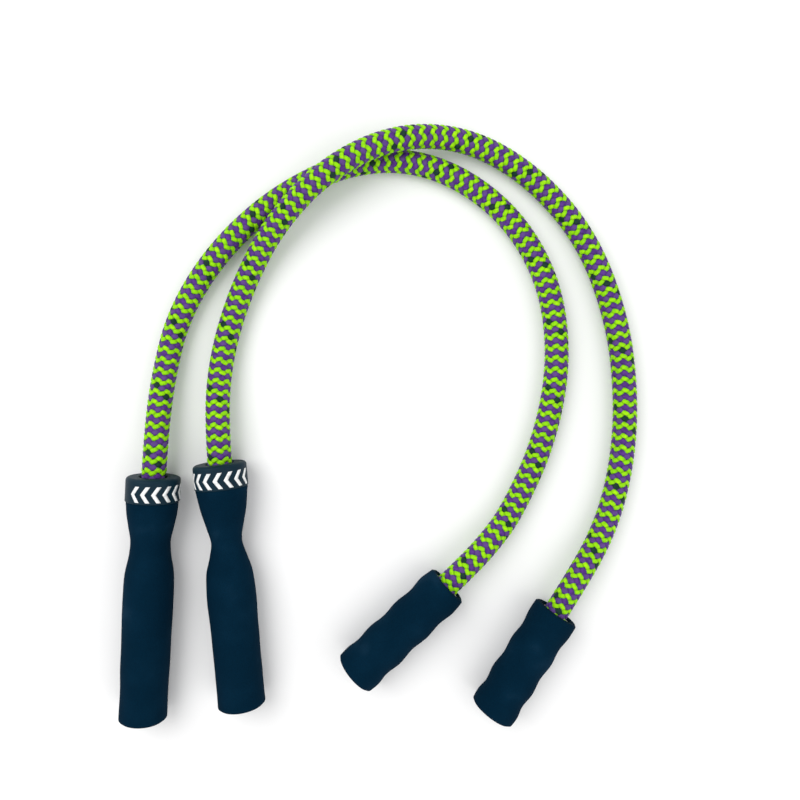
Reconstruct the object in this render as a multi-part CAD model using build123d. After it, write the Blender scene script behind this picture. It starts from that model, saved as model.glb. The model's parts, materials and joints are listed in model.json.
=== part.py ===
from build123d import *

import math
import os

# A pair of short, heavy training ropes. Each rope has a long foam-covered handle at one end, which spins
# on a ball bearing, and a short foam-covered weighted end piece at the other. The pair lies on a flat
# surface, and rope B passes over rope A once.
#
# Millimetres, +Z up. The origin is on the surface, under the middle of the box round the four grips.
# Every handle and end piece is turned about its own axis: depth is measured from its mouth, where the
# rope comes out, into the piece.

# Ropes. The first two points of a route are on its handle's axis and the last two on its end piece's
# axis, and they place those pieces. Between them the rope lies on the surface.
ROPE_DIAMETER = 16.0
ROPE_IN_HANDLE = 23.0
ROPE_IN_END_PIECE = 30.0
ARC_SHARE = 0.45  # of the shorter run beside a corner, taken up by the corner's arc

ROUTE_A = [
    (-125, 52.5, 16.85),
    (-123, 94.5, 17.36),
    (-121.5, 138, 10),
    (-110, 182, 8),
    (-82, 225, 8),
    (-41.5, 260, 8),
    (6, 281, 8),
    (55, 279, 8),
    (101, 251, 8),
    (130.5, 206, 8),
    (138, 152, 8),
    (127, 98, 8),
    (104.5, 51, 8.5),
    (75.5, 15.5, 15.4),
    (43, -15.3, 15.4),
]
ROUTE_B = [
    (-79.7, 61, 16.85),
    (-83.5, 103, 17.36),
    (-83.5, 147, 10),
    (-71.5, 192, 10),
    (-48, 236, 25),
    (-13, 270, 41),
    (30, 292, 41),
    (76, 294.5, 28),
    (119, 272, 14),
    (155.5, 231, 8),
    (176, 177, 8),
    (182, 124, 8),
    (178.5, 78, 8),
    (166.5, 37, 9),
    (142.2, -0.3, 15.4),
    (118.3, -37.2, 15.4),
]

# Handle outside
HANDLE_LENGTH = 156.0
HEAD_RADIUS = 16.9
COLLAR_LENGTH = 15.5
COLLAR_WALL = 2.2
COLLAR_LIP = 3.0
COLLAR_ROUND = 2.2
COLLAR_BORE_ROUND = 1.0
HARD_EDGE_ROUND = 0.5  # on the hard plastic pieces' free edges
ROPE_GAP = 0.8
FOAM_TOP_RADIUS = 16.5
FOAM_PALM_RADIUS = 15.4
FOAM_END_RADIUS = 15.2
FOAM_END_ROUND = 1.6
FOAM_A_WAIST = [(15.5, 24), (14.2, 32), (12.3, 43), (15.2, 62), (15.8, 75)]  # (radius, depth)
FOAM_B_WAIST = [(15.4, 24), (13.9, 32), (9.9, 51), (14.6, 69), (15.5, 81)]

# Bearing, a thin-section ball bearing
BEARING_BORE = 17.0
BEARING_OUTSIDE = 26.0
BEARING_WIDTH = 5.0
BALL_COUNT = 14
BALL_SHARE = 5 / 9  # of the bearing's section, which is half of its outside less its bore
BALL_PLAY = 0.02
GROOVE_SHARE = 0.24  # of a ball's radius sunk in each ring
CAGE_GAP_SHARE = 0.28  # of a ball's radius between the cage and each ring
CAGE_WIDTH = 3.6
POCKET_PLAY = 0.1

# Circlip that keeps the bearing in the handle
CIRCLIP_THICKNESS = 1.0
CIRCLIP_LAND = 0.8
CIRCLIP_BITE = 0.6
CIRCLIP_RIM_SHARE = 16 / 45  # of the bearing's section that the circlip covers
CIRCLIP_LUG_SHARE = 1 / 3  # of the bearing's section, for a lug's radius
CIRCLIP_HOLE_SHARE = 11 / 30  # of a lug's radius
CIRCLIP_GAP_ANGLE = 36.0
CIRCLIP_LUG_ANGLE = 18.0

# Ferrule crimped on the rope's end, behind the bearing
FERRULE_WALL = 1.6
FERRULE_BASE = 2.0
FERRULE_NOSE = 0.8
FERRULE_GAP = 1.0
CRIMP_WIDTH = 2.0
CRIMP_DEPTH = 0.4
CRIMP_COUNT = 2

# Handle core
CAVITY_FLOOR_GAP = 1.5
CORE_CAVITY_WALL = 2.0
CORE_NECK_RADIUS = 7.0
CORE_NECK_START = 38.0
CORE_NECK_END = 58.0
CORE_GRIP_RADIUS = 11.0
CORE_GRIP_START = 72.0
CORE_GRIP_WALL = 2.0
CORE_WEB = 4.0
PLUG_RECESS = 1.0
PLUG_HEAD = 4.0
PLUG_SPIGOT = 10.0

# Short end pieces
END_A_LENGTH = 82.5
END_B_LENGTH = 76.5
END_A_MOUTH_RADIUS = 13.9
END_B_MOUTH_RADIUS = 15.0
END_BULGE_RADIUS = 15.3
END_DIP_RADIUS = 14.0
END_TAIL_RADIUS = 14.3
END_DIPS = (0.245, 0.54, 0.81)  # shares of the length, from the mouth
END_ROUND = 1.4
TUBE_WALL = 2.0
TUBE_ROPE_GAP = 0.5
TUBE_RECESS = 1.5
END_PLUG_HEAD = 2.0
END_PLUG_SPIGOT = 9.0
END_PLUG_RECESS = 1.0
WEIGHT_GAP = 2.0
PIN_RADIUS = 1.5
PIN_DEPTH = 20.0
PIN_SHORT = 0.2  # how far each end of the pin stays inside the tube's outside

# Sizes that follow from the ones above
ROPE_RADIUS = ROPE_DIAMETER / 2
COLLAR_BORE = ROPE_RADIUS + ROPE_GAP
CORE_HEAD_RADIUS = HEAD_RADIUS - COLLAR_WALL
SEAT_RADIUS = BEARING_OUTSIDE / 2
SPIGOT_RADIUS = BEARING_BORE / 2
PITCH_RADIUS = (SEAT_RADIUS + SPIGOT_RADIUS) / 2
BEARING_SECTION = SEAT_RADIUS - SPIGOT_RADIUS
BALL_RADIUS = BALL_SHARE * BEARING_SECTION / 2
INNER_RING_RADIUS = PITCH_RADIUS - BALL_RADIUS * (1 - GROOVE_SHARE)
OUTER_RING_RADIUS = PITCH_RADIUS + BALL_RADIUS * (1 - GROOVE_SHARE)
CAGE_GAP = CAGE_GAP_SHARE * BALL_RADIUS
CIRCLIP_LUG = CIRCLIP_LUG_SHARE * BEARING_SECTION
CIRCLIP_HOLE = CIRCLIP_HOLE_SHARE * CIRCLIP_LUG
CIRCLIP_DEPTH = COLLAR_LIP + CIRCLIP_LAND
BEARING_DEPTH = CIRCLIP_DEPTH + CIRCLIP_THICKNESS
BEARING_BACK = BEARING_DEPTH + BEARING_WIDTH
FERRULE_RADIUS = ROPE_RADIUS + FERRULE_WALL
FERRULE_END = ROPE_IN_HANDLE + FERRULE_BASE
CAVITY_RADIUS = FERRULE_RADIUS + FERRULE_GAP
CAVITY_END = FERRULE_END + CAVITY_FLOOR_GAP
CORE_CAVITY_RADIUS = CAVITY_RADIUS + CORE_CAVITY_WALL
CORE_BORE_RADIUS = CORE_GRIP_RADIUS - CORE_GRIP_WALL
CORE_END = HANDLE_LENGTH - PLUG_RECESS - PLUG_HEAD
TUBE_BORE_RADIUS = ROPE_RADIUS + TUBE_ROPE_GAP
TUBE_RADIUS = TUBE_BORE_RADIUS + TUBE_WALL


def turned(*outline):
    """Solid turned about Z from a closed outline's (radius, depth) or (radius, depth, rounding) corners."""
    corners = [(corner[0], -corner[1]) for corner in outline]
    rounding = [corner[2] if len(corner) == 3 else 0 for corner in outline]
    wire = FilletPolyline(*corners, radius=rounding, close=True)
    return revolve(Plane.XZ * make_face(wire), Axis.Z)


def sleeve(outside, inside):
    """Solid turned about Z between a smooth outer line and a cornered inner one, both (radius, depth)."""
    along = (0, -1)
    outer = Spline(*[(radius, -depth) for radius, depth in outside], tangents=(along, along))
    inner = Polyline(*[(radius, -depth) for radius, depth in (outside[-1], *inside, outside[0])])
    return revolve(Plane.XZ * make_face([*outer.edges(), *inner.edges()]), Axis.Z)


def rounded_rims(solid, *rims):
    """The solid with the circular edge at each (radius, depth, rounding) rounded off."""
    for radius, depth, rounding in rims:
        rim = solid.edges().filter_by(GeomType.CIRCLE).sort_by(
            lambda edge: abs(edge.radius - radius) + abs(edge.arc_center.Z + depth)
        )[0]
        solid = fillet(rim, rounding)
    return solid


def mouth_frame(inner, outer, depth):
    """Frame at a piece's mouth: Z runs out along its axis, from point inner to point outer; X is level."""
    start = Vector(*inner)
    out = (Vector(*outer) - start).normalized()
    return Plane(start + out * depth, x_dir=out.cross(Vector(0, 0, 1)), z_dir=out)


# Ropes


def corner_radii(route):
    """The radius of each corner's arc, as large as the runs beside it allow."""
    radii = []
    for before, corner, after in zip(route, route[1:], route[2:]):
        arriving = Vector(*corner) - Vector(*before)
        leaving = Vector(*after) - Vector(*corner)
        half_turn = math.radians(arriving.get_angle(leaving)) / 2
        radii.append(ARC_SHARE * min(arriving.length, leaving.length) / math.tan(half_turn))
    return radii


def rope(route, pin):
    """Plain tube along the route's runs and arcs, drilled for the pin in its end piece."""
    radii = corner_radii(route)
    path = FilletPolyline(*route, radius=radii)
    section = Plane(path @ 0, z_dir=path % 0) * Circle(ROPE_RADIUS)
    tube = sweep(section, path=path)
    straight = section.area * path.length
    print("rope radii", [round(radius) for radius in radii])
    print("rope length", round(path.length, 1), "volume against straight", round(tube.volume / straight, 4))
    return tube - pin


# Handle pieces, in the frame of the handle's mouth


def ferrule():
    """Closed cup crimped on the rope's end; its nose runs through the bearing's bore."""
    crimps = []
    crimp_pitch = (FERRULE_END - BEARING_BACK) / (CRIMP_COUNT + 1)
    for index in range(CRIMP_COUNT, 0, -1):
        middle = BEARING_BACK + index * crimp_pitch
        crimps += [
            (FERRULE_RADIUS, middle + CRIMP_WIDTH / 2),
            (FERRULE_RADIUS - CRIMP_DEPTH, middle + CRIMP_WIDTH / 4),
            (FERRULE_RADIUS - CRIMP_DEPTH, middle - CRIMP_WIDTH / 4),
            (FERRULE_RADIUS, middle - CRIMP_WIDTH / 2),
        ]
    return turned(
        (0, FERRULE_END),
        (FERRULE_RADIUS, FERRULE_END),
        *crimps,
        (FERRULE_RADIUS, BEARING_BACK),
        (SPIGOT_RADIUS, BEARING_BACK),
        (SPIGOT_RADIUS, BEARING_DEPTH - FERRULE_NOSE),
        (ROPE_RADIUS, BEARING_DEPTH - FERRULE_NOSE),
        (ROPE_RADIUS, ROPE_IN_HANDLE),
        (0, ROPE_IN_HANDLE),
    )


def ring(inner, outer, start, end):
    return turned((inner, start), (outer, start), (outer, end), (inner, end))


def ball_centres():
    """Places round the bearing, at the middle of its width."""
    level = BEARING_DEPTH + BEARING_WIDTH / 2
    return Pos(0, 0, -level) * PolarLocations(PITCH_RADIUS, BALL_COUNT)


def ball_groove():
    level = BEARING_DEPTH + BEARING_WIDTH / 2
    return Pos(0, 0, -level) * Torus(PITCH_RADIUS, BALL_RADIUS + BALL_PLAY)


def bearing_inner():
    return ring(SPIGOT_RADIUS, INNER_RING_RADIUS, BEARING_DEPTH, BEARING_BACK) - ball_groove()


def bearing_outer():
    return ring(OUTER_RING_RADIUS, SEAT_RADIUS, BEARING_DEPTH, BEARING_BACK) - ball_groove()


def bearing_balls():
    return Compound([place * Sphere(BALL_RADIUS) for place in ball_centres()])


def bearing_cage():
    """Ring between the bearing rings, drilled through from its side for each ball."""
    side = (BEARING_WIDTH - CAGE_WIDTH) / 2
    cage = ring(
        INNER_RING_RADIUS + CAGE_GAP,
        OUTER_RING_RADIUS - CAGE_GAP,
        BEARING_DEPTH + side,
        BEARING_BACK - side,
    )
    pocket = Rot(0, 90, 0) * Cylinder(BALL_RADIUS + POCKET_PLAY, BEARING_WIDTH)
    return cage - [place * pocket for place in ball_centres()]


def circlip():
    """Inside circlip in the core's groove, with its gap between two drilled lugs."""
    outside = SEAT_RADIUS + CIRCLIP_BITE
    inside = SEAT_RADIUS - CIRCLIP_RIM_SHARE * BEARING_SECTION
    reach = 2 * outside
    half_gap = math.radians(CIRCLIP_GAP_ANGLE / 2)
    gap = make_face(
        Polyline(
            (0, 0),
            (reach * math.cos(half_gap), reach * math.sin(half_gap)),
            (reach * math.cos(half_gap), -reach * math.sin(half_gap)),
            close=True,
        )
    )
    face = Circle(outside) - Circle(inside)
    lug_angle = (CIRCLIP_GAP_ANGLE + CIRCLIP_LUG_ANGLE) / 2
    for angle in (lug_angle, -lug_angle):
        face += Rot(0, 0, angle) * Pos(inside, 0) * Circle(CIRCLIP_LUG)
        face -= Rot(0, 0, angle) * Pos(inside - CIRCLIP_HOLE, 0) * Circle(CIRCLIP_HOLE)
    return Pos(0, 0, -CIRCLIP_DEPTH - CIRCLIP_THICKNESS) * extrude(face - gap, CIRCLIP_THICKNESS)


def core_outside():
    """The core's outer line behind the collar, which the foam's bore follows."""
    return [
        (CORE_CAVITY_RADIUS, COLLAR_LENGTH),
        (CORE_CAVITY_RADIUS, CAVITY_END),
        (CORE_NECK_RADIUS, CORE_NECK_START),
        (CORE_NECK_RADIUS, CORE_NECK_END),
        (CORE_GRIP_RADIUS, CORE_GRIP_START),
        (CORE_GRIP_RADIUS, CORE_END),
    ]


def handle_core():
    """Moulded core: bearing seat and ferrule cavity in the head, solid neck, hollow grip."""
    groove = SEAT_RADIUS + CIRCLIP_BITE
    return turned(
        (CORE_HEAD_RADIUS, COLLAR_LIP),
        (CORE_HEAD_RADIUS, COLLAR_LENGTH),
        *core_outside(),
        (CORE_BORE_RADIUS, CORE_END),
        (CORE_BORE_RADIUS, CORE_GRIP_START + CORE_WEB),
        (0, CORE_GRIP_START + CORE_WEB),
        (0, CAVITY_END),
        (CAVITY_RADIUS, CAVITY_END),
        (CAVITY_RADIUS, BEARING_BACK),
        (SEAT_RADIUS, BEARING_BACK),
        (SEAT_RADIUS, BEARING_DEPTH),
        (groove, BEARING_DEPTH),
        (groove, CIRCLIP_DEPTH),
        (SEAT_RADIUS, CIRCLIP_DEPTH),
        (SEAT_RADIUS, COLLAR_LIP),
    )


def collar():
    """Cap over the core's head, with a rounded lip round the rope."""
    return turned(
        (COLLAR_BORE, 0, COLLAR_BORE_ROUND),
        (HEAD_RADIUS, 0, COLLAR_ROUND),
        (HEAD_RADIUS, COLLAR_LENGTH, HARD_EDGE_ROUND),
        (CORE_HEAD_RADIUS, COLLAR_LENGTH),
        (CORE_HEAD_RADIUS, COLLAR_LIP),
        (COLLAR_BORE, COLLAR_LIP),
    )


def handle_foam(waist):
    """Foam sleeve with a narrow waist under the head and a fuller grip."""
    palm_depth = (waist[-1][1] + HANDLE_LENGTH) / 2
    outside = [
        (FOAM_TOP_RADIUS, COLLAR_LENGTH),
        *waist,
        (FOAM_PALM_RADIUS, palm_depth),
        (FOAM_END_RADIUS, HANDLE_LENGTH),
    ]
    inside = [(CORE_GRIP_RADIUS, HANDLE_LENGTH), *reversed(core_outside())]
    return rounded_rims(sleeve(outside, inside), (FOAM_END_RADIUS, HANDLE_LENGTH, FOAM_END_ROUND))


def handle_plug():
    """Plug that closes the hollow grip."""
    return turned(
        (0, CORE_END - PLUG_SPIGOT),
        (CORE_BORE_RADIUS, CORE_END - PLUG_SPIGOT),
        (CORE_BORE_RADIUS, CORE_END),
        (CORE_GRIP_RADIUS, CORE_END),
        (CORE_GRIP_RADIUS, CORE_END + PLUG_HEAD, HARD_EDGE_ROUND),
        (0, CORE_END + PLUG_HEAD),
    )


# End pieces, in the frame of the end piece's mouth


def rope_pin():
    """Cross pin through the tube and the rope."""
    reach = TUBE_RADIUS - PIN_SHORT
    return Pos(0, 0, -PIN_DEPTH) * Rot(0, 90, 0) * Cylinder(PIN_RADIUS, 2 * reach)


def short_tube(length):
    """Tube that holds the rope's end, the weight and the plug."""
    tube_end = length - END_PLUG_RECESS - END_PLUG_HEAD
    pin_hole = Pos(0, 0, -PIN_DEPTH) * Rot(0, 90, 0) * Cylinder(PIN_RADIUS, 2 * (TUBE_RADIUS + TUBE_WALL))
    return ring(TUBE_BORE_RADIUS, TUBE_RADIUS, TUBE_RECESS, tube_end) - pin_hole


def end_weight(length):
    """Slug between the rope's end and the plug."""
    weight_end = length - END_PLUG_RECESS - END_PLUG_HEAD - END_PLUG_SPIGOT
    start = ROPE_IN_END_PIECE + WEIGHT_GAP
    return turned((0, start), (TUBE_BORE_RADIUS, start), (TUBE_BORE_RADIUS, weight_end), (0, weight_end))


def short_plug(length):
    tube_end = length - END_PLUG_RECESS - END_PLUG_HEAD
    return turned(
        (0, tube_end - END_PLUG_SPIGOT),
        (TUBE_BORE_RADIUS, tube_end - END_PLUG_SPIGOT),
        (TUBE_BORE_RADIUS, tube_end),
        (TUBE_RADIUS, tube_end),
        (TUBE_RADIUS, tube_end + END_PLUG_HEAD, HARD_EDGE_ROUND),
        (0, tube_end + END_PLUG_HEAD),
    )


def short_foam(length, mouth_radius):
    """Foam sleeve with finger dips and a bulge on each side of every dip."""
    outside = [(mouth_radius, 0)]
    marks = (0, *END_DIPS, 1)
    for before, after in zip(marks, marks[1:]):
        outside.append((END_BULGE_RADIUS, (before + after) / 2 * length))
        if after < 1:
            outside.append((END_DIP_RADIUS, after * length))
    outside.append((END_TAIL_RADIUS, length))
    foam = sleeve(outside, [(TUBE_RADIUS, length), (TUBE_RADIUS, 0)])
    return rounded_rims(foam, (END_TAIL_RADIUS, length, END_ROUND), (mouth_radius, 0, END_ROUND))


def pieces():
    """Every node by name, in its place."""
    sides = {
        "a": (ROUTE_A, FOAM_A_WAIST, END_A_LENGTH, END_A_MOUTH_RADIUS),
        "b": (ROUTE_B, FOAM_B_WAIST, END_B_LENGTH, END_B_MOUTH_RADIUS),
    }
    made = {}
    for side, (route, waist, end_length, mouth_radius) in sides.items():
        handle = mouth_frame(route[0], route[1], ROPE_IN_HANDLE)
        end_piece = mouth_frame(route[-1], route[-2], ROPE_IN_END_PIECE)
        made[f"rope_{side}"] = rope(route, end_piece * rope_pin())
        in_handle = {
            "ferrule": ferrule(),
            "bearing_inner": bearing_inner(),
            "bearing_outer": bearing_outer(),
            "bearing_balls": bearing_balls(),
            "bearing_cage": bearing_cage(),
            "circlip": circlip(),
            "handle_core": handle_core(),
            "collar": collar(),
            "handle_foam": handle_foam(waist),
            "handle_plug": handle_plug(),
        }
        in_end_piece = {
            "short_tube": short_tube(end_length),
            "rope_pin": rope_pin(),
            "end_weight": end_weight(end_length),
            "short_plug": short_plug(end_length),
            "short_foam": short_foam(end_length, mouth_radius),
        }
        for frame, group in ((handle, in_handle), (end_piece, in_end_piece)):
            for name, solid in group.items():
                made[f"{name}_{side}"] = frame * solid
    return made


os.makedirs("parts", exist_ok=True)
for name, solid in pieces().items():
    export_step(solid, f"parts/{name}.step")
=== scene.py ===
import json
import math

import bpy
import numpy as np
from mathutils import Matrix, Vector, noise


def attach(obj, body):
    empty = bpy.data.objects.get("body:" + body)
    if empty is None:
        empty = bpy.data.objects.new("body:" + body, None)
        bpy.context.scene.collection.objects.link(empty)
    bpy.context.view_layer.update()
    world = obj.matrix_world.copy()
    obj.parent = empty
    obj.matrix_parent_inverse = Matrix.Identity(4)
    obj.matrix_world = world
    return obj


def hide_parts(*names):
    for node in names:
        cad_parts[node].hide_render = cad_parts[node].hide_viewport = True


# The looks of a pair of braided training ropes with foam handles. Metres, in the CAD model's frame.
# Every handle and end piece is turned about its own axis: depth is measured from its mouth, where the
# rope comes out, into the piece.

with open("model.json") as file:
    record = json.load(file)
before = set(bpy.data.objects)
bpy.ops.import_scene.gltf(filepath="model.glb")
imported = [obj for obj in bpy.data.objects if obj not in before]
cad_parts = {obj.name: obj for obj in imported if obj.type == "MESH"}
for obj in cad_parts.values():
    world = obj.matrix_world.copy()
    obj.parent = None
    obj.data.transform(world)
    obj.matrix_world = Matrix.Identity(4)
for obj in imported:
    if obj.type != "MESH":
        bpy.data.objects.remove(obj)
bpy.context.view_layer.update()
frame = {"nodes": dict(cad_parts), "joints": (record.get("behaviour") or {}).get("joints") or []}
joints = {joint["name"]: joint for joint in frame["joints"]}

SIDES = {"a": "root", "b": "rope_b"}  # the two ropes and the body that each is part of

# The routes of part.py, in metres. Rope A has a few points moved and one added near its end piece, and
# rope B is lower over rope A here than its CAD tube is, and lies on it.
ROUTES = {
    "a": [
        (-0.125, 0.0525, 0.01685),
        (-0.123, 0.0945, 0.01736),
        (-0.1203, 0.138, 0.010),
        (-0.110, 0.182, 0.008),
        (-0.082, 0.225, 0.008),
        (-0.0415, 0.260, 0.008),
        (0.006, 0.281, 0.008),
        (0.055, 0.279, 0.008),
        (0.101, 0.251, 0.008),
        (0.1305, 0.206, 0.008),
        (0.1385, 0.152, 0.008),
        (0.1285, 0.0975, 0.008),
        (0.107, 0.051, 0.0085),
        (0.0915, 0.0317, 0.0125),
        (0.0755, 0.0155, 0.0154),
        (0.043, -0.0153, 0.0154),
    ],
    "b": [
        (-0.0797, 0.061, 0.01685),
        (-0.0835, 0.103, 0.01736),
        (-0.0835, 0.147, 0.010),
        (-0.0715, 0.192, 0.008),
        (-0.048, 0.236, 0.016),
        (-0.013, 0.270, 0.026),
        (0.030, 0.292, 0.023),
        (0.076, 0.2945, 0.011),
        (0.119, 0.272, 0.008),
        (0.1555, 0.231, 0.008),
        (0.176, 0.177, 0.008),
        (0.182, 0.124, 0.008),
        (0.1785, 0.078, 0.008),
        (0.1665, 0.037, 0.009),
        (0.1422, -0.0003, 0.0154),
        (0.1183, -0.0372, 0.0154),
    ],
}
ROPE_IN_END_PIECE = 0.030
SPLINE_STEPS = 48

# Braid: 12 strands wind each way round a core, over two and under two. A float is the stretch of a strand
# that lies over two others. Rope B has its braid end for end, so its floats meet the other way.
STRANDS_EACH_WAY = 12
LAY_LENGTH = 0.0438  # along the rope, in which a strand goes once round
COLUMNS = STRANDS_EACH_WAY // 2  # lengthwise rows of floats each way, round the rope
STRAND_STEP = 0.00076
STRAND_SIDES = 8
BRAID_RADIUS = 0.00665
BRAID_RISE = 0.0005  # how far a float stands out from that, and the stretch between floats sinks
CORE_RADIUS = 0.0060
CORE_BEVEL_STEPS = 5
FLOAT_SLANT = 0.00085  # how far a float's ends are pulled back along the rope
FLOAT_NARROWING = 0.2  # share of its width that a strand loses where it goes under
SHADE_START = 0.4  # strand's height where its shade starts: 1 on a float, 0 where it goes under
STRAND_SQUARENESS = 0.8  # 1 is an oval strand, and less is squarer
GREEN_SIZE = (0.0029, 0.00145)  # a strand's width and thickness
PURPLE_SIZE = (0.0037, 0.0011)
FLOAT_MIDDLE = {"a": 7.5, "b": -7.5}  # degrees from where two like strands cross to a float's middle
# How the braid's lay wanders: (distance along the rope, shift along it, degrees about it). The values come
# from a scratch fit of a drawn braid to the photo, which was then thinned and rounded.
BRAID_DRIFT = {
    "a": [
        (0.05, 0.0028, 3),
        (0.11, 0.0004, 17),
        (0.20, -0.0006, 19),
        (0.24, -0.0011, 23),
        (0.31, -0.0029, 52),
        (0.36, -0.0029, 54),
        (0.45, -0.0029, 67),
        (0.54, -0.0029, 69),
        (0.65, -0.0051, 73),
    ],
    "b": [
        (0.05, 0.0046, -3),
        (0.10, 0.0024, 9),
        (0.16, 0.0006, 13),
        (0.22, -0.0007, 20),
        (0.28, -0.0009, 29),
        (0.42, 0.0007, 32),
        (0.50, 0.0016, 44),
        (0.57, 0.0025, 55),
        (0.62, 0.0036, 55),
        (0.67, 0.0043, 46),
    ],
}
TRACER_STRAND = {"a": 9, "b": 5}  # one of the purple places
BAKE_LENGTHS = 4  # rows that a strand is cut into in the map for baking
BAKE_SIDE_SHARE = 0.96  # of that map's width, with the strands' end faces in the rest
BAKE_ROW_SHARE = 0.9  # of a row that a strand's side takes up
BAKE_END_WIDTH = 1 / 3  # an end face's half width, as a share of the width left for it
BAKE_END_HEIGHT = 0.4  # and its half height, as a share of a row

# Outsides of the handles' foam sleeves, and their inside from the back end to the mouth: (depth, radius)
HANDLE_LENGTH = 0.156
COLLAR_LENGTH = 0.0155
BORE_HEAD_RADIUS = 0.0126
BORE_NECK_RADIUS = 0.007
BORE_GRIP_RADIUS = 0.011
FOAM_OUTLINES = {
    "a": [
        (COLLAR_LENGTH, 0.0164),
        (0.0250, 0.0155),
        (0.0316, 0.0142),
        (0.042, 0.0124),
        (0.0487, 0.0128),
        (0.062, 0.0151),
        (0.074, 0.0157),
        (0.099, 0.0155),
        (0.123, 0.0153),
        (0.142, 0.0149),
        (HANDLE_LENGTH, 0.0151),
    ],
    "b": [
        (COLLAR_LENGTH, 0.0165),
        (0.0316, 0.0140),
        (0.040, 0.0119),
        (0.051, 0.0099),
        (0.0585, 0.0115),
        (0.0695, 0.0145),
        (0.078, 0.0153),
        (0.107, 0.0152),
        (0.132, 0.0150),
        (0.150, 0.0150),
        (HANDLE_LENGTH, 0.0151),
    ],
}
HANDLE_BORE = [
    (HANDLE_LENGTH, BORE_GRIP_RADIUS),
    (0.072, BORE_GRIP_RADIUS),
    (0.058, BORE_NECK_RADIUS),
    (0.038, BORE_NECK_RADIUS),
    (0.0265, BORE_HEAD_RADIUS),
    (COLLAR_LENGTH, BORE_HEAD_RADIUS),
]
END_LENGTH = {"a": 0.0825, "b": 0.0765}
END_MOUTH_RADIUS = {"a": 0.0139, "b": 0.0150}
END_BULGE_RADIUS = 0.0150
END_DIP_RADIUS = 0.0140
END_TAIL_RADIUS = 0.0146
END_DIPS = (0.245, 0.535, 0.82)  # shares of the length, from the mouth
END_BORE_RADIUS = 0.0105
FOAM_EDGE_ROUND = 0.0012
FOAM_AROUND = 112
FOAM_STEP = 0.0010
FOAM_DENTS = 0.00022  # how deep the foam's unevenness is
FOAM_DENT_SIZE = 0.016
GRIP_SEED = 1.0  # where the dents' noise starts
END_SEED = 5.0

# Generic marks printed on the collars: a row of chevrons part of the way round
COLLAR_RADIUS = 0.0169
MARK_DEPTHS = (0.0042, 0.0142)  # of a mark's two ends
MARK_COUNT = {"a": 9, "b": 7}
MARK_START = {"a": -78.5, "b": 8.5}  # degrees round the collar from its right-hand side
MARK_PITCH = 23  # degrees
MARK_STROKE = 0.0027
MARK_LEAN = 0.0034  # how far a chevron's tip stands out
MARK_LIFT = 0.00010
MARK_ROWS = 17
MARK_EDGES = (-0.5, 0, 0.5)  # lines along a mark, in strokes from its middle

# Materials: patterns to a metre, except across a strand, and heights of relief
MIX_COLOUR_INPUTS = (0, 6, 7)  # the Mix node's sockets for a factor and two colours
MIX_COLOUR_OUTPUT = 2
FILAMENTS_ACROSS = 30.0  # radians from a strand's middle to its edge
FILAMENTS_ALONG = 2600.0  # radians to a metre
FILAMENT_RELIEF = 0.00006
FILAMENT_SHADE = 0.86  # painted shade: brightness between two filaments
EDGE_SHADE = 0.86  # painted shade: brightness at a strand's edges
EDGE_SHARPNESS = 4.0
YARN_PATCHES = 420.0
CORE_PATCHES = 900.0
FOAM_CELLS = 2600.0
FOAM_GRAIN = 700.0
FOAM_GRAIN_SHARE = 0.6  # of the cells' relief
FOAM_RUBS = 38.0
FOAM_RELIEF = 0.00008

# Camera and light
CAMERA_PLACE = (0.034, 0.1436, 0.4946)
CAMERA_LENS = 33.525
CAMERA_SHIFT = -0.0375
CAMERA_NEAR = 0.01
SENSOR_WIDTH = 36
FLOOR_SIZE = 6.0
FLOOR_DROP = 0.0001
LIGHTS = {  # place, width and power
    "key": ((-0.9, 0.9, 1.8), 1.8, 24),
    "fill": ((1.3, -0.6, 1.6), 2.0, 10),
}
SURROUND_STRENGTH = 0.72


def linear(*colour):
    """A colour given as 0 to 255, as the shader's linear numbers."""
    shares = [part / 255 for part in colour]
    return tuple(s / 12.92 if s <= 0.04045 else ((s + 0.055) / 1.055) ** 2.4 for s in shares) + (1.0,)


# Materials


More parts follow.
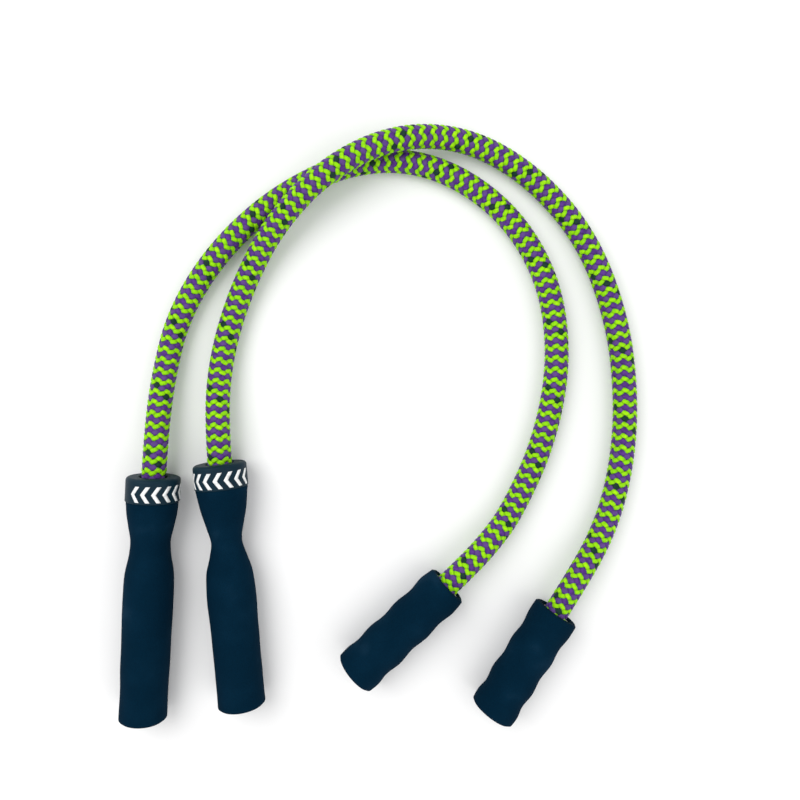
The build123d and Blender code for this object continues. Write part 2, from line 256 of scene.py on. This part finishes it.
class Nodes:
    """A material's node tree, with short ways to add and join nodes."""

    def __init__(self, name):
        self.material = bpy.data.materials.new(name)
        self.material.use_nodes = True
        self.tree = self.material.node_tree
        self.shader = self.tree.nodes["Principled BSDF"]

    def feed(self, socket, value):
        """Links a value that comes from another node, and sets any other."""
        if isinstance(value, bpy.types.NodeSocket):
            self.tree.links.new(value, socket)
        else:
            socket.default_value = value

    def add(self, kind, inputs=None, **settings):
        node = self.tree.nodes.new("ShaderNode" + kind)
        for key, value in settings.items():
            setattr(node, key, value)
        for key, value in (inputs or {}).items():
            self.feed(node.inputs[key], value)
        return node

    def math(self, operation, *values):
        node = self.add("Math", dict(enumerate(values)), operation=operation)
        return node.outputs[0]

    def noise(self, scale, detail=2.0, vector=None):
        """Noise of about scale features to a metre, in the object's own space."""
        if vector is None:
            vector = self.add("TexCoord").outputs["Object"]
        node = self.add("TexNoise", {"Vector": vector, "Scale": scale, "Detail": detail})
        return node.outputs["Fac"]

    def ramp(self, value, *stops):
        """Colour from a value, by (place, colour) stops."""
        node = self.add("ValToRGB", {"Fac": value})
        elements = node.color_ramp.elements
        while len(elements) < len(stops):
            elements.new(0.5)
        for element, (place, colour) in zip(elements, stops):
            element.position = place
            element.color = colour
        return node.outputs["Color"]

    def spread(self, value, low, high):
        """A 0 to 1 value stretched over low to high."""
        node = self.add("MapRange", {"Value": value, "To Min": low, "To Max": high})
        return node.outputs["Result"]

    def mix(self, factor, first, second, how="MIX"):
        """Two colours mixed. The node has a set of sockets for each kind of value."""
        node = self.add("Mix", data_type="RGBA", blend_type=how)
        for key, value in zip(MIX_COLOUR_INPUTS, (factor, first, second)):
            self.feed(node.inputs[key], value)
        return node.outputs[MIX_COLOUR_OUTPUT]

    def set(self, **sockets):
        """Numbers, colours and links for the shader's sockets; an underscore stands for a space."""
        for key, value in sockets.items():
            self.feed(self.shader.inputs[key.replace("_", " ")], value)

    def bump(self, height, distance, strength=1.0):
        node = self.add("Bump", {"Height": height, "Distance": distance, "Strength": strength})
        self.tree.links.new(node.outputs["Normal"], self.shader.inputs["Normal"])


def yarn(name, bright, dull, painted_lean_sheen, painted_under_shade):
    """Filament yarn: fine lengthwise filaments, and a tone that changes along it, with a painted sheen
    that changes it with its lean. Painted shade darkens it between filaments, at a strand's edges and
    where it goes under; the last argument is the share of its brightness that it keeps there."""
    made = Nodes(name)
    place = made.add("SeparateXYZ", {0: made.add("Attribute", attribute_name="strand").outputs["Vector"]})
    along, across, lean = place.outputs
    slant = made.math("MULTIPLY", along, FILAMENTS_ALONG)
    filaments = made.math("SINE", made.math("MULTIPLY_ADD", across, FILAMENTS_ACROSS, slant))
    patches = made.noise(YARN_PATCHES, detail=3.0)
    tone = made.ramp(patches, (0.3, dull), (0.62, bright))
    # Painted sheen: strands that lean one way are half mixed with a second tone
    tone = made.mix(lean, tone, made.mix(0.5, tone, painted_lean_sheen))
    # Painted shade in the grooves between filaments
    groove_shade = made.spread(made.math("MULTIPLY_ADD", filaments, 0.5, 0.5), FILAMENT_SHADE, 1.0)
    # Painted shade: darker where the strand goes under its neighbours
    under = made.add("Attribute", attribute_name="under").outputs["Fac"]
    # Painted shade: darker towards a strand's edges
    edge = made.math("POWER", made.math("ABSOLUTE", across), EDGE_SHARPNESS)
    shade = made.math("MULTIPLY", made.spread(under, 1.0, painted_under_shade), made.spread(edge, 1.0, EDGE_SHADE))
    shade = made.math("MULTIPLY", shade, groove_shade)
    grey = made.add("CombineColor", {channel: shade for channel in range(3)})
    made.set(Base_Color=made.mix(1.0, tone, grey.outputs[0], "MULTIPLY"))
    made.set(Roughness=made.spread(patches, 0.42, 0.62))
    made.set(Specular_IOR_Level=0.16)
    made.bump(filaments, distance=FILAMENT_RELIEF, strength=0.6)
    return made.material


def core_yarn():
    """Dull dark yarn, which shows only between the strands."""
    made = Nodes("core_yarn")
    patches = made.noise(CORE_PATCHES)
    made.set(Base_Color=made.ramp(patches, (0.3, linear(12, 22, 20)), (0.7, linear(26, 40, 36))))
    made.set(Roughness=0.9, Specular_IOR_Level=0.1)
    return made.material


def foam():
    """Matte closed-cell foam: fine pores and faint pale rubbed patches."""
    made = Nodes("foam")
    rubbed = made.noise(FOAM_RUBS, detail=2.5)
    cells = made.noise(FOAM_CELLS)
    dark, usual, pale = linear(2, 33, 52), linear(4, 37, 57), linear(18, 48, 69)
    base = made.ramp(rubbed, (0.45, dark), (0.62, usual), (0.78, pale))
    shade = made.ramp(cells, (0.25, linear(200, 200, 200)), (0.6, linear(255, 255, 255)))
    made.set(Base_Color=made.mix(1.0, base, shade, "MULTIPLY"))
    made.set(Roughness=made.spread(cells, 0.8, 0.95))
    made.set(Specular_IOR_Level=0.03)
    heights = made.math("MULTIPLY_ADD", made.noise(FOAM_GRAIN), FOAM_GRAIN_SHARE, cells)
    made.bump(heights, distance=FOAM_RELIEF, strength=0.5)
    return made.material


def moulded(name, base, lighter, roughness, grain=900.0, specular=0.4):
    """Moulded plastic: an even tone with a slight drift and a fine spark-eroded grain."""
    made = Nodes(name)
    made.set(Base_Color=made.ramp(made.noise(60.0, detail=3.0), (0.35, base), (0.75, lighter)))
    grains = made.noise(grain, detail=3.0)
    made.set(Roughness=made.spread(grains, roughness - 0.06, roughness + 0.08))
    made.set(Specular_IOR_Level=specular)
    made.bump(grains, distance=0.00004, strength=0.5)
    return made.material


def metal(name, base, darker, roughness, streak):
    """Metal with machining lines: noise squeezed by streak along the three axes."""
    made = Nodes(name)
    place = made.add("Mapping", {"Vector": made.add("TexCoord").outputs["Object"], "Scale": streak})
    lines = made.noise(1.0, detail=3.0, vector=place.outputs["Vector"])
    made.set(Base_Color=made.ramp(lines, (0.3, darker), (0.7, base)))
    made.set(Metallic=1.0, Roughness=made.spread(lines, roughness - 0.06, roughness + 0.1))
    made.bump(lines, distance=0.00002, strength=0.4)
    return made.material


def mark_paint():
    """White print, faintly worn."""
    made = Nodes("mark_paint")
    wear = made.noise(500.0, detail=4.0)
    made.set(Base_Color=made.ramp(wear, (0.28, linear(205, 208, 208)), (0.5, linear(244, 245, 245))))
    made.set(Roughness=made.spread(wear, 0.4, 0.55), Specular_IOR_Level=0.4)
    made.bump(wear, distance=0.00003, strength=0.4)
    return made.material


def floor_paint():
    """Matte near-white with the faintest drift."""
    made = Nodes("floor_paint")
    drift = made.noise(3.0)
    made.set(Base_Color=made.ramp(drift, (0.3, linear(246, 246, 246)), (0.7, linear(250, 250, 250))))
    made.set(Roughness=0.85, Specular_IOR_Level=0.1)
    return made.material


# Meshes


def put(name, points, faces, material, body, strand=None, bake=None):
    """A smooth mesh piece on its body. strand gives each point's (along, across, lean, under) for the
    yarn, and bake gives each face corner's place on the map for baking."""
    mesh = bpy.data.meshes.new(name)
    mesh.from_pydata([tuple(point) for point in points], [], faces)
    mesh.materials.append(material)
    mesh.shade_smooth()
    if strand is not None:
        layer = mesh.attributes.new("strand", "FLOAT_VECTOR", "POINT")
        layer.data.foreach_set("vector", strand[:, :3].astype(np.float32).ravel())
        layer = mesh.attributes.new("under", "FLOAT", "POINT")
        layer.data.foreach_set("value", strand[:, 3].astype(np.float32))
    if bake is not None:
        layer = mesh.uv_layers.new(name="OFBake")
        layer.data.foreach_set("uv", np.asarray(bake, np.float32).ravel())
    piece = bpy.data.objects.new(name, mesh)
    bpy.context.scene.collection.objects.link(piece)
    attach(piece, body)
    return piece


def unit(vectors):
    return vectors / np.linalg.norm(vectors, axis=-1, keepdims=True)


def rope_spline(side):
    """The rope's core: a round curve along the route."""
    route = ROUTES[side]
    data = bpy.data.curves.new(f"rope_core_{side}", "CURVE")
    data.dimensions = "3D"
    data.resolution_u = SPLINE_STEPS
    spline = data.splines.new("NURBS")
    spline.points.add(len(route) - 1)
    for point, place in zip(spline.points, route):
        point.co = (*place, 1.0)
    spline.order_u = 3
    spline.use_endpoint_u = True
    core = bpy.data.objects.new(f"rope_core_{side}", data)
    bpy.context.scene.collection.objects.link(core)
    return core


def centreline(core):
    """Evenly spaced points along the curve, with its direction, up and side at each."""
    line = bpy.data.meshes.new_from_object(core)
    points = np.array([vertex.co for vertex in line.vertices])
    bpy.data.meshes.remove(line)
    steps = np.linalg.norm(np.diff(points, axis=0), axis=1)
    along = np.concatenate([[0], np.cumsum(steps)])
    even = np.linspace(0, along[-1], round(along[-1] / STRAND_STEP))
    places = np.stack([np.interp(even, along, points[:, axis]) for axis in range(3)], 1)
    ahead = unit(np.gradient(places, even, axis=0))
    up = unit(np.array([0, 0, 1]) - ahead * ahead[:, 2:])
    return even, places, ahead, up, np.cross(ahead, up)


def section_angles():
    """Where the points of a strand's section stand, round it."""
    return 2 * math.pi * (np.arange(STRAND_SIDES) + 0.5) / STRAND_SIDES


def squared(share):
    """A share of a strand's half width or half thickness, moved out so that the strand is less oval."""
    return math.copysign(abs(share) ** STRAND_SQUARENESS, share)


def strand_points(side, line, index, direction, size):
    """One strand's rings of points, and how far each ring goes under the others, from 0 to 1."""
    even, places, ahead, up, across = line
    distances, shifts, turns = np.array(BRAID_DRIFT[side]).T
    turn = np.radians(np.interp(even, distances, turns))
    turned = direction * 2 * math.pi * (even - np.interp(even, distances, shifts)) / LAY_LENGTH
    angle = turn + 2 * math.pi * index / STRANDS_EACH_WAY + turned
    phase = COLUMNS * (angle - turn - math.radians(FLOAT_MIDDLE[side]))
    over = direction * np.cos(phase)
    lift = over * (1.5 - 0.5 * over**2)
    out = up * np.cos(angle)[:, None] + across * np.sin(angle)[:, None]
    centres = places + out * (BRAID_RADIUS + BRAID_RISE * lift)[:, None]
    centres -= ahead * (FLOAT_SLANT * np.sin(phase))[:, None]
    run = unit(np.gradient(centres, even, axis=0))
    wide = unit(np.cross(run, out))
    proud = np.cross(wide, run)
    width, thickness = size
    half_width = (width / 2 * (1 - FLOAT_NARROWING * (1 - over) / 2))[:, None]
    rings = []
    for place in section_angles():
        sideways = squared(math.cos(place))
        rise = squared(math.sin(place)) * thickness / 2
        rings.append(centres + wide * half_width * sideways + proud * rise)
    return np.stack(rings, 1), np.clip(1 - over / SHADE_START, 0, 1)


def strand_bake(order, strand_count, steps):
    """A strand's places on the map for baking: its lengths in rows, and its two end faces after them."""
    rows = strand_count * BAKE_LENGTHS
    row_steps = math.ceil(steps / BAKE_LENGTHS)
    step, round_strand = np.meshgrid(np.arange(steps), np.arange(STRAND_SIDES), indexing="ij")
    row = order * BAKE_LENGTHS + step // row_steps
    corners = []
    for onward, sideways in ((0, 0), (0, 1), (1, 1), (1, 0)):
        u = BAKE_SIDE_SHARE * (step % row_steps + onward) / row_steps
        share = (round_strand + sideways) / STRAND_SIDES
        v = (row + (1 - BAKE_ROW_SHARE) / 2 + BAKE_ROW_SHARE * share) / rows
        corners.append(np.stack([u, v], -1))
    places = [np.stack(corners, 2).reshape(-1, 2)]
    turns = 2 * math.pi * np.arange(STRAND_SIDES) / STRAND_SIDES
    for end_row in (row[0, 0], row[-1, 0]):
        u = (1 + BAKE_SIDE_SHARE) / 2 + (1 - BAKE_SIDE_SHARE) * BAKE_END_WIDTH * np.cos(turns)
        v = (end_row + 1 / 2 + BAKE_END_HEIGHT * np.sin(turns)) / rows
        places.append(np.stack([u, v], -1))
    return np.concatenate(places)


def strands(name, side, line, chosen, size, material, body):
    """A piece made of the chosen strands, each (index, direction)."""
    even = line[0]
    count = len(even)
    points, faces, strand, bake = [], [], [], []
    for order, (index, direction) in enumerate(chosen):
        first = order * count * STRAND_SIDES
        grid = first + np.arange(count * STRAND_SIDES).reshape(count, STRAND_SIDES)
        ahead, behind = grid[1:], grid[:-1]
        quads = np.stack([behind, np.roll(behind, -1, 1), np.roll(ahead, -1, 1), ahead], -1)
        faces += quads.reshape(-1, 4).tolist()
        faces += [grid[0][::-1].tolist(), grid[-1].tolist()]
        rings, under = strand_points(side, line, index, direction, size)
        points.append(rings.reshape(-1, 3))
        own = np.zeros((count, STRAND_SIDES, 4))
        own[..., 0] = even[:, None] + index * LAY_LENGTH
        own[..., 1] = np.cos(section_angles())
        own[..., 2] = (1 + direction) / 2
        own[..., 3] = under[:, None]
        strand.append(own.reshape(-1, 4))
        bake.append(strand_bake(order, len(chosen), count - 1))
    points, strand, bake = (np.concatenate(part) for part in (points, strand, bake))
    return put(name, points, faces, material, body, strand, bake)


def braid(side, line, body, materials):
    """The rope's cover: green and purple strands in turn both ways, and one dark tracer."""
    groups = {"green": [], "purple": [], "tracer": []}
    for direction in (1, -1):
        for index in range(STRANDS_EACH_WAY):
            tracer = direction < 0 and index == TRACER_STRAND[side]
            colour = "tracer" if tracer else "purple" if index % 2 else "green"
            groups[colour].append((index, direction))
    pieces = []
    for colour, chosen in groups.items():
        size = GREEN_SIZE if colour == "green" else PURPLE_SIZE
        name = f"rope_{colour}_{side}"
        pieces.append(strands(name, side, line, chosen, size, materials[colour], body))
    return pieces


def smooth(outline, step):
    """A smooth line through an outline's (depth, radius) points, as cubics that share their slopes."""
    depths, radii = np.array(outline).T
    slopes = np.gradient(radii, depths)
    fine = np.linspace(depths[0], depths[-1], round((depths[-1] - depths[0]) / step) + 1)
    index = np.clip(np.searchsorted(depths, fine, side="right") - 1, 0, len(depths) - 2)
    gap = depths[index + 1] - depths[index]
    t = (fine - depths[index]) / gap
    values = (
        (1 + 2 * t) * (1 - t) ** 2 * radii[index]
        + t * (1 - t) ** 2 * gap * slopes[index]
        + t**2 * (3 - 2 * t) * radii[index + 1]
        + t**2 * (t - 1) * gap * slopes[index + 1]
    )
    return list(zip(fine, values))


def rounded(outline, round_start):
    """The outer line with its far edge rounded in, and its near edge too if round_start is set."""
    radius = FOAM_EDGE_ROUND
    start, end = outline[0][0], outline[-1][0]
    shaped = []
    for depth, size in outline:
        reach = max(0.0, depth - (end - radius))
        if round_start:
            reach = max(reach, start + radius - depth)
        shaped.append((depth, size - radius + math.sqrt(max(0.0, radius**2 - reach**2))))
    return shaped


def axes(out):
    """Two directions across an axis, the first level."""
    level = out.cross(Vector((0, 0, 1))).normalized()
    return level, level.cross(out)


def foam_piece(name, outline, bore, mouth, out, seed, material, body):
    """A foam sleeve turned about its axis, slightly uneven, as a closed mesh."""
    across, above = axes(out)
    profile = [*outline, *bore]
    points = []
    for depth, radius in profile:
        for index in range(FOAM_AROUND):
            angle = 2 * math.pi * index / FOAM_AROUND
            spoke = across * math.cos(angle) + above * math.sin(angle)
            place = mouth - out * depth + spoke * radius
            dent = noise.noise((place + Vector((seed, 0, 0))) / FOAM_DENT_SIZE)
            points.append(place - spoke * FOAM_DENTS * (dent + 0.5))
    rings = len(profile)
    grid = np.arange(rings * FOAM_AROUND).reshape(rings, FOAM_AROUND)
    onward = np.roll(grid, -1, 0)
    quads = np.stack([grid, onward, np.roll(onward, -1, 1), np.roll(grid, -1, 1)], -1)
    return put(name, points, quads.reshape(-1, 4).tolist(), material, body)


def handle_foam(side, material):
    """The long foam sleeve on a handle."""
    joint = joints[f"handle_{side}_spin"]
    outline = rounded(smooth(FOAM_OUTLINES[side], FOAM_STEP), False)
    mouth, out = Vector(joint["pos_m"]), Vector(joint["axis"])
    seed = GRIP_SEED + ord(side)
    body = f"handle_{side}"
    piece = foam_piece(f"foam_grip_{side}", outline, HANDLE_BORE, mouth, out, seed, material, body)
    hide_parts(f"handle_foam_{side}")


def end_foam(side, material, body):
    """The short wavy foam sleeve on the rope's other end."""
    length = END_LENGTH[side]
    outline = [(0, END_MOUTH_RADIUS[side])]
    dips = (0, *END_DIPS, 1)
    for before, after in zip(dips, dips[1:]):
        outline.append(((before + after) / 2 * length, END_BULGE_RADIUS))
        outline.append((after * length, END_DIP_RADIUS if after < 1 else END_TAIL_RADIUS))
    outline = rounded(smooth(outline, FOAM_STEP), True)
    bore = [(length, END_BORE_RADIUS), (0, END_BORE_RADIUS)]
    last, previous = Vector(ROUTES[side][-1]), Vector(ROUTES[side][-2])
    out = (previous - last).normalized()
    mouth = last + out * ROPE_IN_END_PIECE
    seed = END_SEED + ord(side)
    piece = foam_piece(f"foam_end_{side}", outline, bore, mouth, out, seed, material, body)
    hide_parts(f"short_foam_{side}")


def collar_marks(side, material):
    """Chevrons on the collar, as thin closed shells on its curved side."""
    joint = joints[f"handle_{side}_spin"]
    mouth, out = Vector(joint["pos_m"]), Vector(joint["axis"])
    across, above = axes(out)
    points, faces = [], []
    heights = (MARK_LIFT, -MARK_LIFT)
    shape = (MARK_ROWS, len(MARK_EDGES), len(heights))
    for mark in range(MARK_COUNT[side]):
        middle = math.radians(MARK_START[side] + MARK_PITCH * mark)
        start = len(points)
        for row in range(MARK_ROWS):
            share = row / (MARK_ROWS - 1)
            depth = MARK_DEPTHS[0] + share * (MARK_DEPTHS[1] - MARK_DEPTHS[0])
            tip = MARK_LEAN * (1 - abs(2 * share - 1))
            for edge in MARK_EDGES:
                arc = (tip + edge * MARK_STROKE) / COLLAR_RADIUS + middle
                spoke = across * math.cos(arc) + above * math.sin(arc)
                for height in heights:
                    points.append(mouth - out * depth + spoke * (COLLAR_RADIUS + height))
        grid = start + np.arange(math.prod(shape)).reshape(shape)
        loop = np.concatenate([grid[:, :, 0], grid[:, ::-1, 1]], 1)
        quads = np.stack([loop[:-1], loop[1:], np.roll(loop[1:], -1, 1), np.roll(loop[:-1], -1, 1)], -1)
        faces += quads.reshape(-1, 4).tolist()
        faces += [loop[0].tolist(), loop[-1][::-1].tolist()]
    put(f"collar_marks_{side}", points, faces, material, f"handle_{side}")


def paint_nodes():
    """Materials for the CAD pieces that stay as they are."""
    steel = metal("bearing_steel", linear(225, 226, 228), linear(170, 172, 176), 0.18, (300, 300, 300))
    spring = metal("spring_steel", linear(120, 122, 126), linear(70, 72, 78), 0.35, (900, 900, 900))
    aluminium = metal("aluminium", linear(210, 212, 214), linear(160, 162, 165), 0.35, (80, 1800, 1800))
    slug = metal("weight_steel", linear(165, 166, 168), linear(110, 112, 116), 0.4, (1500, 1500, 60))
    nylon = moulded("core_nylon", linear(44, 46, 50), linear(60, 62, 66), 0.5)
    plug = moulded("plug_plastic", linear(14, 24, 34), linear(24, 36, 46), 0.45)
    tube = moulded("tube_plastic", linear(216, 214, 196), linear(228, 227, 214), 0.42)
    cage = moulded("cage_plastic", linear(150, 120, 62), linear(170, 140, 84), 0.5)
    collar = moulded("collar_plastic", linear(8, 35, 49), linear(16, 44, 57), 0.5, 700.0, 0.12)
    wanted = {
        "ferrule": aluminium,
        "bearing_inner": steel,
        "bearing_outer": steel,
        "bearing_balls": steel,
        "bearing_cage": cage,
        "circlip": spring,
        "rope_pin": spring,
        "end_weight": slug,
        "handle_core": nylon,
        "handle_plug": plug,
        "short_plug": plug,
        "short_tube": tube,
        "collar": collar,
    }
    for name, material in wanted.items():
        for side in SIDES:
            node = frame["nodes"][f"{name}_{side}"]
            node.data.materials.clear()
            node.data.materials.append(material)


def camera():
    """The camera straight above, looking down."""
    data = bpy.data.cameras.new("camera")
    data.sensor_width = SENSOR_WIDTH
    data.lens = CAMERA_LENS
    data.shift_y = CAMERA_SHIFT
    data.clip_start = CAMERA_NEAR
    piece = bpy.data.objects.new("camera", data)
    piece.location = CAMERA_PLACE
    bpy.context.scene.collection.objects.link(piece)
    bpy.context.scene.camera = piece


def light(name, place, target, size, power):
    """A round soft light that points at the target."""
    data = bpy.data.lights.new(name, "AREA")
    data.shape = "DISK"
    data.size = size
    data.energy = power
    lamp = bpy.data.objects.new(name, data)
    lamp.location = place
    lamp.rotation_euler = (Vector(target) - Vector(place)).to_track_quat("-Z", "Y").to_euler()
    lamp.visible_camera = False
    bpy.context.scene.collection.objects.link(lamp)


def studio():
    """Pale floor, two soft lights and a pale surround."""
    middle = (CAMERA_PLACE[0], CAMERA_PLACE[1], 0)
    bpy.ops.mesh.primitive_plane_add(size=FLOOR_SIZE, location=(*middle[:2], -FLOOR_DROP))
    floor = bpy.context.object
    floor.name = "floor"
    floor.data.materials.append(floor_paint())
    for name, (place, size, power) in LIGHTS.items():
        light(name, place, middle, size, power)
    world = bpy.data.worlds.new("surround")
    world.use_nodes = True
    background = world.node_tree.nodes["Background"]
    background.inputs["Color"].default_value = (1.0, 1.0, 1.0, 1.0)
    background.inputs["Strength"].default_value = SURROUND_STRENGTH
    bpy.context.scene.world = world
    bpy.context.scene.view_settings.view_transform = "Standard"


def rope(side, body, yarns, core_material):
    """The rope: its core curve, with the braid's strands on it."""
    core = rope_spline(side)
    line = centreline(core)
    core.data.bevel_depth = CORE_RADIUS
    core.data.bevel_resolution = CORE_BEVEL_STEPS
    core.data.use_fill_caps = True
    core.data.materials.append(core_material)
    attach(core, body)
    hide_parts(f"rope_{side}")
    braid(side, line, body, yarns)


camera()
yarns = {
    "green": yarn("yarn_green", linear(176, 247, 6), linear(134, 218, 1), linear(144, 226, 3), 0.55),
    "purple": yarn("yarn_purple", linear(98, 56, 148), linear(72, 40, 118), linear(104, 80, 144), 0.75),
    "tracer": yarn("yarn_tracer", linear(26, 60, 50), linear(12, 42, 38), linear(20, 48, 52), 0.7),
}
core_material = core_yarn()
for side, body in SIDES.items():
    rope(side, body, yarns, core_material)

foam_material = foam()
mark_material = mark_paint()
for side, body in SIDES.items():
    handle_foam(side, foam_material)
    end_foam(side, foam_material, body)
    collar_marks(side, mark_material)
paint_nodes()
studio()
